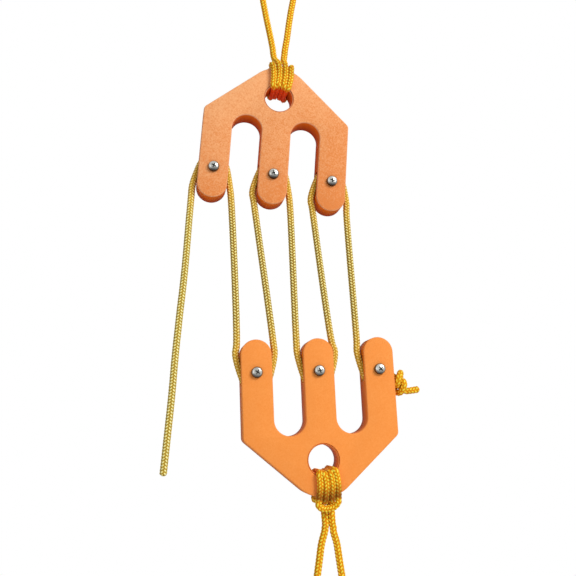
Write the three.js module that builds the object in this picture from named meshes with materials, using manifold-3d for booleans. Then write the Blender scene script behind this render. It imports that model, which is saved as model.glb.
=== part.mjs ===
// Three-sheave block and tackle: two forked plastic blocks joined by one braided cord.
// Millimetres. X runs to the right, Y away from the viewer, Z up.
// The origin is the inside top of the sling loop that the whole tackle hangs from.
import * as THREE from "three";
import { mergeVertices } from "three/addons/utils/BufferGeometryUtils.js";
import Module from "manifold-3d";

const wasm = await Module();
wasm.setup();

const { degToRad, lerp } = THREE.MathUtils;

// Running and seating clearances
const FIT = 0.25;
const SLOT_CLEARANCE = 0.3;
const CORD_GAP = 0.3;
const OVERRUN = 1.3;

// Forked block
const PITCH = 27;
const LEG_WIDTH = 13.4;
const THICKNESS = 9;
const TIP_BELOW_AXLE = 14.1;
const SLOT_TOP_ABOVE_AXLE = 27;
const EYE_ABOVE_AXLE = 37.4;
const EYE_DIAMETER = 12.8;
const APEX_BAR = 8.9;
const SLANT = degToRad(41.2);
const SHOULDER_FILLET = 2.5;
const EDGE_CHAMFER = 0.6;

// Grooved ball-bearing sheave
const SHEAVE_DIAMETER = 12;
const SHEAVE_WIDTH = 4;
const GROOVE_DIAMETER = 9;
const RIM_FLAT = 0.15;
const RIM_CHAMFER = 0.15;
const BALL_DIAMETER = 1.2;
const BALL_PITCH_DIAMETER = 6.2;
const BALL_COUNT = 7;
const CAGE_SECTION = 0.4;

// Sheave slot through each leg
const SLOT_BELOW_SHEAVE = 0.4;
const SLOT_OVER_CORD = 0.7;
const LIP_RADIUS = 1.5;

// Pan-head axle screw and thin hexagon nut
const SCREW_DIAMETER = 2.9;
const HEAD_DIAMETER = 5.5;
const HEAD_HEIGHT = 2;
const SCREW_TIP_CHAMFER = 0.35;
const SCREW_PAST_NUT = 0.4;
const RECESS_SPAN = 3;
const RECESS_WIDTH = 0.8;
const RECESS_DEPTH = 1.1;
const NUT_ACROSS_FLATS = 5.5;
const NUT_THICKNESS = 1.8;
const NUT_POCKET_DEPTH = 1.2;
const crownShares = [[0, 1], [0.55, 0.93], [0.85, 0.72], [1, 0.4], [1, 0]];

// Where the blocks hang: the eyes' centres, and each block's lean about its eye
const HANG_DROP = 63.2;
const UPPER_LEAN = degToRad(3.66);
const LOWER_DROP = 162.7;
const LOWER_SHIFT = 19.5;
const LOWER_LEAN = degToRad(177.57);
const LOWER_HITCH_LEAN = degToRad(173.9);
const LOWER_LOOP_LEAN = degToRad(180);

// Braided cord, and how it leaves each sheave
const CORD_DIAMETER = 3;
const TURN_CORD_DIAMETER = 2.8;
const CORD_STEP = 7.5;
const LEAVE = degToRad(20);
const LEAVE_KNOT = degToRad(50);
const KNOT_REACH = 1.3;
const HUG_BELOW_AXLE = 8;
const TURN_BELOW_AXLE = 13;

// How far beside the leg each side of a turn ends, from leg to leg
const upperSpreads = [[1.8, 2.6], [0.7, 2.5], [0.7, 2]];
const lowerSpreads = [[0, 1.6], [0.55, 1.9], [1.45, 1.15]];

// Hauling line by hand, from the sheave down: across and up from the origin
const haulingLine = [
  [-38.9, -116], [-39.3, -123], [-39.7, -131], [-40.1, -139], [-40.6, -147], [-41.2, -155],
  [-41.9, -163], [-42.5, -171], [-43.1, -179], [-43.6, -187], [-44, -195], [-44.5, -203], [-45.1, -211],
];
const haulingEnd = [[-45.7, -219], [-46.3, -227], [-46.7, -232]];
const HAULING_SPLIT = -216;

// Sling hitches: two round turns a side round the eye's bar, held under a bridge
const HITCH_CORD_DIAMETER = 2.4;
const HITCH_SPACING = 2.93;

// Where the points lie along each straight run of the hitch
const columnShares = [0.12, 0.5, 0.88];

// Strands and bridge by hand: across from the hitch's middle, towards the strands' face, out from the eye
const upperStrand = [
  [3.1, 0, 25.6], [2.65, 0.2, 22.8], [2.1, 1, 20.9], [1.6, 3.2, 19], [1.45, 5.3, 17.2], [1.45, 6.1, 15.2],
];
const lowerStrand = [
  [1.9, 0, 28.1], [1.75, 0, 25.4], [2.1, 0.1, 23.2], [2.6, 1.2, 21], [2.2, 3.4, 19.1], [1.6, 5.3, 17.2],
  [1.45, 6.1, 15.2],
];
const bridge = [[4.5, -6.1, 16.2], [4.3, -6, 17.8], [2.8, -5.3, 19.35], [0, -4.8, 19.9]];

// Sling loops: from the eye's centre to the inside of the loop's far end, and the radius there
const UPPER_LOOP_RADIUS = 7.8;
const LOWER_LOOP_REACH = 55.2;
const LOWER_LOOP_RADIUS = 5.8;
const lowerKnees = [[3.3, 34.1]];

// Stopper knot at the cord's standing end
const KNOT_CORD_DIAMETER = 2.2;
const KNOT_RING_RADIUS = 3.15;
const KNOT_LOBE_RADIUS = 1.52;
const KNOT_ABOVE_AXLE = 5.9;
const KNOT_OPENING = degToRad(120);
const KNOT_TURN = degToRad(100);

// The knot's two ends by hand: across, away from the viewer, above the axle.
// The start is set out from the leg's axis, the lead and the tail from its side.
const knotStart = [[5.3, 0, 3.7]];
const knotLead = [[-0.4, 0, 3.1], [0.6, 0.1, 2.9]];
const knotTail = [[5.9, 0.3, 9.2], [7.9, 0.1, 9.2], [10.7, 0, 8.9]];

// Facets
const CORD_SIDES = 8;
const FORM_SIDES = 6;
const HEXAGON_SIDES = 6;
const BALL_SIDES = 5;
const BALL_STEPS = 3;
const SHEAVE_STEPS = 20;
const SHAFT_STEPS = 12;
const GROOVE_STEPS = 4;
const ARC_STEPS = 6;
const TURN_STEPS = 8;
const CORNER_STEPS = 3;
const LOOP_STEPS = 10;
const KNOT_STEPS = 44;

// Derived sizes
const LEG_HALF = LEG_WIDTH / 2;
const BLOCK_HALF = PITCH + LEG_HALF;
const TIP_CENTRE = TIP_BELOW_AXLE - LEG_HALF;
const SLOT_RADIUS = PITCH / 2 - LEG_HALF;
const SLOT_CENTRE = SLOT_TOP_ABOVE_AXLE - SLOT_RADIUS;
const EYE_RADIUS = EYE_DIAMETER / 2;
const APEX_RADIUS = EYE_RADIUS + APEX_BAR;
const SHOULDER = EYE_ABOVE_AXLE + (APEX_RADIUS - BLOCK_HALF * Math.sin(SLANT)) / Math.cos(SLANT);
const HALF_THICK = THICKNESS / 2;
const SCREW_HOLE = SCREW_DIAMETER / 2 + FIT;
const RACE_INNER = BALL_PITCH_DIAMETER / 2 - BALL_DIAMETER / 2 - FIT;
const RACE_OUTER = BALL_PITCH_DIAMETER / 2 + BALL_DIAMETER / 2 + FIT;
const NUT_SEAT = HALF_THICK - NUT_POCKET_DEPTH + FIT;
const TURN_RADIUS = GROOVE_DIAMETER / 2 + CORD_GAP + TURN_CORD_DIAMETER / 2;
const HUG_OFFSET = LEG_HALF + CORD_GAP + TURN_CORD_DIAMETER / 2;
const upperEye = new THREE.Vector3(0, 0, -HANG_DROP);
const lowerEye = new THREE.Vector3(LOWER_SHIFT, 0, -HANG_DROP - LOWER_DROP);

// Colours and finishes
const orangePlastic = new THREE.MeshStandardMaterial({ color: 0xf58a3c, roughness: 0.62, metalness: 0 });
const yellowCord = new THREE.MeshStandardMaterial({ color: 0xdda92f, roughness: 0.85, metalness: 0 });
const screwSteel = new THREE.MeshStandardMaterial({ color: 0xc9ccd0, roughness: 0.25, metalness: 1 });
const bearingSteel = new THREE.MeshStandardMaterial({ color: 0xa9adb3, roughness: 0.3, metalness: 1 });

// Solid helpers

// Only the closed surface is left, with its shared vertices joined.
function closed(geometry) {
  geometry.deleteAttribute("normal");
  geometry.deleteAttribute("uv");
  return mergeVertices(geometry);
}

function solid(geometry) {
  const surface = closed(geometry);
  const vertProperties = new Float32Array(surface.attributes.position.array);
  const triVerts = new Uint32Array(surface.index.array);
  return new wasm.Manifold(new wasm.Mesh({ numProp: 3, vertProperties, triVerts }));
}

function surfaceOf(body) {
  const { numProp, vertProperties, triVerts } = body.getMesh();
  const geometry = new THREE.BufferGeometry();
  geometry.setAttribute("position", new THREE.BufferAttribute(new Float32Array(vertProperties), numProp));
  geometry.setIndex(new THREE.BufferAttribute(new Uint32Array(triVerts), 1));
  return geometry;
}

function mesh(name, geometry, material) {
  const piece = new THREE.Mesh(geometry, material.clone());
  piece.name = name;
  return piece;
}

// A plate of the given thickness, centred on the XZ plane, from a shape drawn in X and Z.
function plate(shape, thickness, chamfer = 0) {
  const depth = thickness - 2 * chamfer;
  const geometry = new THREE.ExtrudeGeometry(shape, {
    depth,
    curveSegments: ARC_STEPS,
    bevelEnabled: chamfer > 0,
    bevelThickness: chamfer,
    bevelSize: chamfer,
    bevelOffset: -chamfer,
    bevelSegments: 1,
  });
  geometry.translate(0, 0, -depth / 2);
  geometry.rotateX(Math.PI / 2);
  return geometry;
}

// A ring about Y from a closed outline of radii and heights.
function ring(outline, steps) {
  const points = outline.map(([radius, height]) => new THREE.Vector2(radius, height));
  points.push(points[0].clone());
  return new THREE.LatheGeometry(points, steps);
}

function hexagon(acrossFlats, clearance, height) {
  const corner = acrossFlats / 2 / Math.cos(Math.PI / 6) + clearance;
  return new THREE.CylinderGeometry(corner, corner, height, HEXAGON_SIDES);
}

// Cord helpers

// A route whose tube has one ring of faces at each of its points.
class CordRoute extends THREE.CatmullRomCurve3 {
  getUtoTmapping(share) {
    return share;
  }
}

function tube(points, diameter, sides) {
  const corners = [];
  for (let i = 0; i < sides; i += 1) {
    const angle = (2 * Math.PI * i) / sides;
    corners.push(new THREE.Vector2(Math.cos(angle), Math.sin(angle)).multiplyScalar(diameter / 2));
  }
  const extrudePath = new CordRoute(points, false, "centripetal");
  return new THREE.ExtrudeGeometry(new THREE.Shape(corners), { steps: points.length - 1, extrudePath });
}

// Points a step apart along a straight stretch, without its last one.
function stretch(from, to) {
  const steps = Math.ceil(from.distanceTo(to) / CORD_STEP);
  const points = [];
  for (let i = 0; i < steps; i += 1) {
    points.push(from.clone().lerp(to, i / steps));
  }
  return points;
}

// The same point moved towards another by a distance.
function towards(from, to, distance) {
  return from.clone().add(to.clone().sub(from).setLength(distance));
}

function mirrored(points) {
  return points.map(({ x, y, z }) => new THREE.Vector3(-x, y, z)).reverse();
}

// Least clear space between a wound cord's own turns.
function reportSelfGap(name, points, diameter) {
  let least = Infinity;
  for (let i = 0; i < points.length; i += 1) {
    let along = 0;
    for (let j = i + 1; j < points.length; j += 1) {
      along += points[j].distanceTo(points[j - 1]);
      if (along > Math.PI * diameter) {
        least = Math.min(least, points[i].distanceTo(points[j]) - diameter);
      }
    }
  }
  console.log(`${name}: least gap to itself ${least.toFixed(2)} mm`);
}

function woundTube(name, points, diameter) {
  const fine = new CordRoute(points, false, "centripetal").getPoints(points.length * TURN_STEPS);
  reportSelfGap(name, fine, diameter);
  return tube(points, diameter, FORM_SIDES);
}

// Forked block
function blockOutline() {
  const normal = Math.PI / 2 - SLANT;
  const filletCentre = SHOULDER - SHOULDER_FILLET * Math.tan(normal / 2);
  const shape = new THREE.Shape();
  for (let leg = -1; leg <= 1; leg += 1) {
    shape.absarc(leg * PITCH, -TIP_CENTRE, LEG_HALF, Math.PI, 2 * Math.PI, false);
    if (leg < 1) {
      shape.absarc((leg + 1 / 2) * PITCH, SLOT_CENTRE, SLOT_RADIUS, Math.PI, 0, true);
    }
  }
  shape.absarc(BLOCK_HALF - SHOULDER_FILLET, filletCentre, SHOULDER_FILLET, 0, normal, false);
  shape.absarc(0, EYE_ABOVE_AXLE, APEX_RADIUS, normal, Math.PI - normal, false);
  shape.absarc(SHOULDER_FILLET - BLOCK_HALF, filletCentre, SHOULDER_FILLET, Math.PI - normal, Math.PI, false);
  shape.closePath();
  const eye = new THREE.Path();
  eye.absarc(0, EYE_ABOVE_AXLE, EYE_RADIUS, 0, Math.PI, false);
  eye.absarc(0, EYE_ABOVE_AXLE, EYE_RADIUS, Math.PI, 2 * Math.PI, false);
  shape.holes.push(eye);
  return shape;
}

// The slot one sheave turns in: domed over the cord, with rounded lips where the cord leaves.
function sheaveSlot() {
  const side = LEG_HALF + OVERRUN;
  const floor = SHEAVE_DIAMETER / 2 + SLOT_BELOW_SHEAVE;
  const lip = floor + LIP_RADIUS;
  const dome = TURN_RADIUS + TURN_CORD_DIAMETER / 2 + SLOT_OVER_CORD;
  const shape = new THREE.Shape();
  shape.moveTo(side, -lip);
  shape.lineTo(LEG_HALF, -lip);
  shape.absarc(LEG_HALF - LIP_RADIUS, -lip, LIP_RADIUS, 0, Math.PI / 2, false);
  shape.absarc(LIP_RADIUS - LEG_HALF, -lip, LIP_RADIUS, Math.PI / 2, Math.PI, false);
  shape.lineTo(-side, -lip);
  shape.lineTo(-side, 0);
  shape.absarc(0, 0, dome, Math.PI, 0, true);
  shape.lineTo(side, 0);
  shape.closePath();
  return solid(plate(shape, SHEAVE_WIDTH + 2 * SLOT_CLEARANCE));
}

function axleHole(length) {
  return solid(new THREE.CylinderGeometry(SCREW_HOLE, SCREW_HOLE, length, SHAFT_STEPS));
}

function nutPocket() {
  const depth = NUT_POCKET_DEPTH + OVERRUN;
  const pocket = hexagon(NUT_ACROSS_FLATS, FIT, depth);
  pocket.translate(0, HALF_THICK - NUT_POCKET_DEPTH + depth / 2, 0);
  return solid(pocket);
}

function blockGeometry() {
  const cut = sheaveSlot().add(axleHole(THICKNESS + 2 * OVERRUN)).add(nutPocket());
  let body = solid(plate(blockOutline(), THICKNESS, EDGE_CHAMFER));
  for (let leg = -1; leg <= 1; leg += 1) {
    body = body.subtract(cut.translate([leg * PITCH, 0, 0]));
  }
  return surfaceOf(body);
}

// Ball-bearing sheave, turning about Y
function sheaveGeometry() {
  const half = SHEAVE_WIDTH / 2;
  const rim = SHEAVE_DIAMETER / 2;
  const edge = half - RIM_CHAMFER - RIM_FLAT;
  const depth = rim - GROOVE_DIAMETER / 2;
  const groove = [];
  for (let i = 0; i <= GROOVE_STEPS; i += 1) {
    const angle = (Math.PI * i) / GROOVE_STEPS;
    groove.push([rim - depth * Math.sin(angle), -edge * Math.cos(angle)]);
  }
  return ring([
    [RACE_OUTER, -half],
    [rim - RIM_CHAMFER, -half],
    [rim, RIM_CHAMFER - half],
    ...groove,
    [rim, half - RIM_CHAMFER],
    [rim - RIM_CHAMFER, half],
    [RACE_OUTER, half],
  ], SHEAVE_STEPS);
}

function innerRaceGeometry() {
  const half = SHEAVE_WIDTH / 2;
  const section = [[SCREW_HOLE, -half], [RACE_INNER, -half], [RACE_INNER, half], [SCREW_HOLE, half]];
  return ring(section, SHAFT_STEPS);
}

// Balls held apart by a thin cage ring
function ballCageGeometry() {
  const pitch = BALL_PITCH_DIAMETER / 2;
  const half = CAGE_SECTION / 2;
  const section = [[pitch - half, -half], [pitch + half, -half], [pitch + half, half], [pitch - half, half]];
  let body = solid(ring(section, 2 * BALL_COUNT));
  for (let i = 0; i < BALL_COUNT; i += 1) {
    const angle = (2 * Math.PI * (i + 1 / 2)) / BALL_COUNT;
    const ball = new THREE.SphereGeometry(BALL_DIAMETER / 2, BALL_SIDES, BALL_STEPS);
    ball.translate(pitch * Math.cos(angle), 0, pitch * Math.sin(angle));
    body = body.add(solid(ball));
  }
  return surfaceOf(body);
}

// Axle screw with its head on the front face, and its nut in the back one
function screwGeometry() {
  const shank = SCREW_DIAMETER / 2;
  const seat = -HALF_THICK - FIT;
  const tip = NUT_SEAT + NUT_THICKNESS + SCREW_PAST_NUT;
  const profile = crownShares.map(([across, up]) => [across * HEAD_DIAMETER / 2, seat - up * HEAD_HEIGHT]);
  profile.push([shank, seat]);
  profile.push([shank, tip - SCREW_TIP_CHAMFER]);
  profile.push([shank - SCREW_TIP_CHAMFER, tip]);
  profile.push([0, tip]);
  const points = profile.map(([radius, height]) => new THREE.Vector2(radius, height));
  let body = solid(new THREE.LatheGeometry(points, SHAFT_STEPS));
  for (const [across, down] of [[RECESS_SPAN, RECESS_WIDTH], [RECESS_WIDTH, RECESS_SPAN]]) {
    const recess = new THREE.BoxGeometry(across, 2 * RECESS_DEPTH, down);
    recess.translate(0, seat - HEAD_HEIGHT, 0);
    body = body.subtract(solid(recess));
  }
  return surfaceOf(body);
}

function nutGeometry() {
  const hole = axleHole(NUT_THICKNESS + 2 * OVERRUN);
  const body = solid(hexagon(NUT_ACROSS_FLATS, 0, NUT_THICKNESS)).subtract(hole);
  const geometry = surfaceOf(body);
  geometry.translate(0, NUT_SEAT + NUT_THICKNESS / 2, 0);
  return geometry;
}

// One turn of cord over a sheave. A spread of zero is the side that ends in the stopper knot.
function turnRoute([leftSpread, rightSpread]) {
  const beside = (spread) => [[LEG_HALF + spread, -TURN_BELOW_AXLE], [HUG_OFFSET, -HUG_BELOW_AXLE]];
  const toKnot = [[
    TURN_RADIUS * Math.cos(LEAVE_KNOT) + KNOT_REACH * Math.sin(LEAVE_KNOT),
    TURN_RADIUS * Math.sin(LEAVE_KNOT) - KNOT_REACH * Math.cos(LEAVE_KNOT),
  ]];
  const left = leftSpread > 0 ? beside(leftSpread) : toKnot;
  const start = Math.PI - (leftSpread > 0 ? LEAVE : LEAVE_KNOT);
  const points = left.map(([across, up]) => new THREE.Vector3(-across, 0, up));
  for (let i = 0; i <= TURN_STEPS; i += 1) {
    const angle = lerp(start, LEAVE, i / TURN_STEPS);
    points.push(new THREE.Vector3(Math.cos(angle), 0, Math.sin(angle)).multiplyScalar(TURN_RADIUS));
  }
  const right = beside(rightSpread).reverse();
  points.push(...right.map(([across, up]) => new THREE.Vector3(across, 0, up)));
  return points;
}

// Sling hitch, about the eye's centre with its strands going out along Z

// A point at an angle from the hitch's middle, a radius from the eye's centre and a depth.
function around(angle, radius, depth) {
  return new THREE.Vector3(radius * Math.sin(angle), depth, radius * Math.cos(angle));
}

// Half a turn round one edge of the bar, crossing from one face to the other.
function edgeTurn(radius, outward, face, angleFrom, angleTo) {
  const round = CORD_GAP + HITCH_CORD_DIAMETER / 2;
  const points = [];
  for (const side of [face, -face]) {
    for (let i = 0; i <= CORNER_STEPS; i += 1) {
      const share = side === face ? i / CORNER_STEPS : 1 - i / CORNER_STEPS;
      const corner = (share * Math.PI) / 2;
      points.push(around(
        side === face ? angleFrom : angleTo,
        radius + outward * round * Math.sin(corner),
        side * (HALF_THICK + round * Math.cos(corner)),
      ));
    }
  }
  return points;
}

// Joins stretches of a cord, with points along each straight run between them.
function joined(stretches) {
  const points = [...stretches[0]];
  for (const next of stretches.slice(1)) {
    const from = points.at(-1);
    points.push(...columnShares.map((share) => from.clone().lerp(next[0], share)), ...next);
  }
  return points;
}

// From one strand's end to the middle of the bridge.
function hitchHalf(strand, face) {
  const inner = EYE_RADIUS - CORD_GAP - HITCH_CORD_DIAMETER / 2;
  const innerAngle = Math.asin(HITCH_SPACING / 2 / inner);
  const outerAngle = Math.asin(HITCH_SPACING / 2 / APEX_RADIUS);
  const place = ([across, depth, out]) => new THREE.Vector3(across, face * depth, out);
  const toEye = edgeTurn(EYE_RADIUS, -1, face, innerAngle, innerAngle);
  const overBar = edgeTurn(APEX_RADIUS, 1, -face, outerAngle, 3 * outerAngle);
  const toEyeAgain = edgeTurn(EYE_RADIUS, -1, face, 3 * innerAngle, 3 * innerAngle);
  return joined([strand.map(place), toEye, overBar, toEyeAgain, bridge.map(place)]);
}

function hitchRoute(strand, face) {
  const right = hitchHalf(strand, face);
  return [...right, ...mirrored(right.slice(0, -1))];
}

// Sling loop from one strand of its hitch round to the other, about the eye's centre
function loopRoute(strand, knees, reach, radius) {
  const centre = reach + CORD_DIAMETER / 2 - radius;
  const [endAcross, , endOut] = strand[0];
  const bends = [[endAcross, endOut + 2 * CORD_GAP], ...knees];
  const corners = bends.map(([across, out]) => new THREE.Vector3(across, 0, out));
  const last = corners.at(-1);
  const lean = Math.atan2(centre - last.z, last.x);
  const tangent = Math.acos(radius / Math.hypot(last.x, centre - last.z)) - lean;
  const arc = [];
  for (let i = 0; i <= LOOP_STEPS; i += 1) {
    const angle = lerp(tangent, Math.PI - tangent, i / LOOP_STEPS);
    arc.push(new THREE.Vector3(radius * Math.cos(angle), 0, centre + radius * Math.sin(angle)));
  }
  corners.push(arc[0]);
  const side = [];
  for (let i = 1; i < corners.length; i += 1) {
    side.push(...stretch(corners[i - 1], corners[i]));
  }
  return [...side, ...arc, ...mirrored(side)];
}

// Overhand stopper knot: a three-lobed knot opened at one lobe, lying flat against the leg
function knotRoute() {
  const centre = LEG_HALF + CORD_GAP + KNOT_LOBE_RADIUS + KNOT_CORD_DIAMETER / 2;
  const place = ([across, depth, up]) => new THREE.Vector3(-across, depth, up);
  const beyond = ([across, depth, up]) => place([LEG_HALF + across, depth, up]);
  const points = [...knotStart.map(place), ...knotLead.map(beyond)];
  for (let i = 0; i <= KNOT_STEPS; i += 1) {
    const lobe = lerp(KNOT_OPENING, 6 * Math.PI - KNOT_OPENING, i / KNOT_STEPS);
    const turn = (2 * lobe) / 3 + KNOT_TURN;
    const radius = KNOT_RING_RADIUS + KNOT_LOBE_RADIUS * Math.cos(lobe);
    points.push(new THREE.Vector3(
      KNOT_LOBE_RADIUS * Math.sin(lobe) - centre,
      radius * Math.sin(turn),
      KNOT_ABOVE_AXLE + radius * Math.cos(turn),
    ));
  }
  points.push(...knotTail.map(beyond));
  return points;
}

// One block with its axles, sheaves and cord turns, about its eye's centre
function blockGroup(label, spreads, order) {
  const group = new THREE.Group();
  group.add(mesh(`${label}_block_body`, blockGeometry(), orangePlastic));
  for (let leg = -1; leg <= 1; leg += 1) {
    const number = 2 + leg * order;
    const turn = tube(turnRoute(spreads[leg + 1]), TURN_CORD_DIAMETER, CORD_SIDES);
    const pieces = [
      mesh(`${label}_screw_${number}`, screwGeometry(), screwSteel),
      mesh(`${label}_nut_${number}`, nutGeometry(), screwSteel),
      mesh(`${label}_sheave_${number}`, sheaveGeometry(), bearingSteel),
      mesh(`${label}_inner_race_${number}`, innerRaceGeometry(), bearingSteel),
      mesh(`${label}_ball_cage_${number}`, ballCageGeometry(), bearingSteel),
      mesh(`${label}_cord_turn_${number}`, turn, yellowCord),
    ];
    for (const piece of pieces) {
      piece.position.x = leg * PITCH;
      group.add(piece);
    }
  }
  for (const piece of group.children) {
    piece.position.z = -EYE_ABOVE_AXLE;
  }
  return group;
}

// Where one side of a turn ends, in the whole tackle's frame
function turnEnd(eye, lean, leg, side, spread) {
  const across = leg * PITCH + side * (LEG_HALF + spread);
  const point = new THREE.Vector3(across, 0, -TURN_BELOW_AXLE - EYE_ABOVE_AXLE);
  return point.applyAxisAngle(new THREE.Vector3(0, 1, 0), lean).add(eye);
}

// The five falls between the blocks: upper leg and side, then lower leg and side
const falls = [
  [-1, 1, 1, 1],
  [0, -1, 1, -1],
  [0, 1, 0, 1],
  [1, -1, 0, -1],
  [1, 1, -1, 1],
];

function fallGeometry([upperLeg, upperSide, lowerLeg, lowerSide]) {
  const upperSpread = upperSpreads[upperLeg + 1][(upperSide + 1) / 2];
  const lowerSpread = lowerSpreads[lowerLeg + 1][(lowerSide + 1) / 2];
  const top = turnEnd(upperEye, UPPER_LEAN, upperLeg, upperSide, upperSpread);
  const bottom = turnEnd(lowerEye, LOWER_LEAN, lowerLeg, lowerSide, lowerSpread);
  const from = towards(top, bottom, CORD_GAP);
  const to = towards(bottom, top, CORD_GAP);
  return tube([...stretch(from, to), to], CORD_DIAMETER, CORD_SIDES);
}

// Hauling line in two pieces: the part that grows, and the end that is pulled
function haulingRoutes() {
  const place = ([across, up]) => new THREE.Vector3(across, 0, up);
  const start = turnEnd(upperEye, UPPER_LEAN, -1, -1, upperSpreads[0][0]);
  const top = towards(start, place(haulingLine[0]), CORD_GAP);
  const above = place(haulingLine.at(-1));
  const under = place(haulingEnd[0]);
  const split = above.clone().lerp(under, (above.z - HAULING_SPLIT) / (above.z - under.z));
  const line = [top, ...haulingLine.map(place), split];
  const end = [towards(split, under, CORD_GAP), ...haulingEnd.map(place)];
  return [line, end];
}

// One sling: its hitch about the eye, and the loop beyond it
function slingGroup(label, strand, knees, face, reach, radius, hitchLean, loopLean) {
  const name = `${label}_sling_hitch`;
  const hitch = mesh(name, woundTube(name, hitchRoute(strand, face), HITCH_CORD_DIAMETER), yellowCord);
  const loopGeometry = tube(loopRoute(strand, knees, reach, radius), CORD_DIAMETER, CORD_SIDES);
  const loop = mesh(`${label}_sling_loop`, loopGeometry, yellowCord);
  hitch.rotation.y = hitchLean;
  loop.rotation.y = loopLean;
  loop.position.x = strand[0].at(-1) * Math.sin(hitchLean);
  const group = new THREE.Group();
  group.add(hitch, loop);
  return group;
}

// The whole tackle
const tackle = new THREE.Group();

const upperSling = slingGroup("upper", upperStrand, [], -1, HANG_DROP, UPPER_LOOP_RADIUS, 0, 0);
upperSling.position.copy(upperEye);
tackle.add(upperSling);

const upperBlock = blockGroup("upper", upperSpreads, 1);
upperBlock.position.copy(upperEye);
upperBlock.rotation.y = UPPER_LEAN;
tackle.add(upperBlock);

const lowerBlock = blockGroup("lower", lowerSpreads, -1);
lowerBlock.position.copy(lowerEye);
lowerBlock.rotation.y = LOWER_LEAN;
const knot = mesh("stopper_knot", woundTube("stopper_knot", knotRoute(), KNOT_CORD_DIAMETER), yellowCord);
knot.position.set(-PITCH, 0, -EYE_ABOVE_AXLE);
lowerBlock.add(knot);
tackle.add(lowerBlock);

falls.forEach((fall, i) => {
  tackle.add(mesh(`cord_fall_${i + 1}`, fallGeometry(fall), yellowCord));
});

const [lineRoute, endRoute] = haulingRoutes();
tackle.add(mesh("hauling_line", tube(lineRoute, CORD_DIAMETER, CORD_SIDES), yellowCord));
tackle.add(mesh("hauling_end", tube(endRoute, CORD_DIAMETER, CORD_SIDES), yellowCord));

const lowerSling = slingGroup(
  "lower", lowerStrand, lowerKnees, 1, LOWER_LOOP_REACH, LOWER_LOOP_RADIUS, LOWER_HITCH_LEAN, LOWER_LOOP_LEAN,
);
lowerSling.position.copy(lowerEye);
tackle.add(lowerSling);

export default tackle;
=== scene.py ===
# %% [markdown]
# # Block and tackle
# Two forked plastic blocks share one braided cord, which runs over three small sheaves in each. A
# cord sling is hitched in each block's eye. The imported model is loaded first, as a fixed frame:
# every piece below takes its place from it, in metres, and rides on its bodies.

# %% Load the frame
from math import acos, asin, atan2, ceil, copysign, cos, exp, hypot, pi, radians, sin, tan

import bmesh
import bpy
import numpy as np
from mathutils import Matrix, Vector


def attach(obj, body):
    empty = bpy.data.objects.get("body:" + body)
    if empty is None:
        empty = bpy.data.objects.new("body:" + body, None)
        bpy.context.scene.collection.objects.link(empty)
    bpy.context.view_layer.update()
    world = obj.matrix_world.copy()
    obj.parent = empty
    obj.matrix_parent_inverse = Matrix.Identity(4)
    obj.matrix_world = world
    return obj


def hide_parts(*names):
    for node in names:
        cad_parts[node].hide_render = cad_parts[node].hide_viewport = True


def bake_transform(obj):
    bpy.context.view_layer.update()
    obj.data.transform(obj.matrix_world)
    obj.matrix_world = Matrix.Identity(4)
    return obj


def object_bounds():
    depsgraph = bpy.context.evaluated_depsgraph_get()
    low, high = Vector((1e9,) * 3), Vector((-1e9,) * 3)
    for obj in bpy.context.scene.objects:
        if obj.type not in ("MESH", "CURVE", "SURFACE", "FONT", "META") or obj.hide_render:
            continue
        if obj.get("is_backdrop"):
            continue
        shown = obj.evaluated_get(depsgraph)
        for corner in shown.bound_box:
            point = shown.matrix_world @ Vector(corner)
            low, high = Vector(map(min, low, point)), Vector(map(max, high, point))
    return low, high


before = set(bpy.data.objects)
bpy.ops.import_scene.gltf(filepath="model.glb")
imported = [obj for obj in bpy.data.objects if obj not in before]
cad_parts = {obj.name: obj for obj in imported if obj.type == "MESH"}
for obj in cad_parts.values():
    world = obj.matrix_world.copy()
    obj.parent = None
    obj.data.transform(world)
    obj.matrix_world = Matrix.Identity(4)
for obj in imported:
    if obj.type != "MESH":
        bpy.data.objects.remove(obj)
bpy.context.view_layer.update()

# %% [markdown]
# ## The camera
# The photograph looks up at the tackle a little, from its left. The camera was fitted to the edges of
# both blocks. It looks along its own -Z, so its axes are written out as right, up and back.

# %% Camera
def linked(name, data):
    piece = bpy.data.objects.new(name, data)
    bpy.context.collection.objects.link(piece)
    return piece


camera_data = bpy.data.cameras.new("photo_camera")
camera_data.sensor_width = 36
camera_data.lens = 43.15
camera = linked("photo_camera", camera_data)
ahead = Vector((0.1712, 0.9642, 0.2025)).normalized()
right = Vector((0.9846, -0.1748, 0)).normalized()
above = right.cross(ahead)
turn = Matrix((right, above, -ahead)).transposed().to_4x4()
camera.matrix_world = Matrix.Translation((-0.0474, -0.2955, -0.21385)) @ turn
bpy.context.scene.camera = camera
print("camera looks up", round(asin(ahead.z) * 180 / pi, 2), "degrees")

# %% [markdown]
# ## Sizes
# These are the tackle's own sizes in metres, the same as in the solid model, with the place where
# each block hangs and how it leans about its eye. A small helper takes a point from a block's own
# frame, centred on its eye, to the tackle's frame.

# %% Sizes and places
MM = 0.001
PITCH = 27 * MM
LEG_HALF = 6.7 * MM
THICKNESS = 9 * MM
HALF_THICK = THICKNESS / 2
EYE_ABOVE_AXLE = 37.4 * MM
EYE_RADIUS = 6.4 * MM
APEX_RADIUS = EYE_RADIUS + 8.9 * MM
# In millimetres: a groove's bottom, the gap between solid pieces, and half of the solid cord
GROOVE, GAP, CORD_HALF = 4.5, 0.3, 1.4
TURN_RADIUS = (GROOVE + GAP + CORD_HALF) * MM
HUG = LEG_HALF + (GAP + CORD_HALF) * MM

UPPER = {"name": "upper", "eye": Vector((0, 0, -63.2 * MM)), "lean": radians(3.66), "order": 1}
LOWER = {
    "name": "lower", "eye": Vector((19.5 * MM, 0, -225.9 * MM)), "lean": radians(177.57), "order": -1,
}
BLOCKS = (UPPER, LOWER)
LEGS = (-1, 0, 1)


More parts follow.
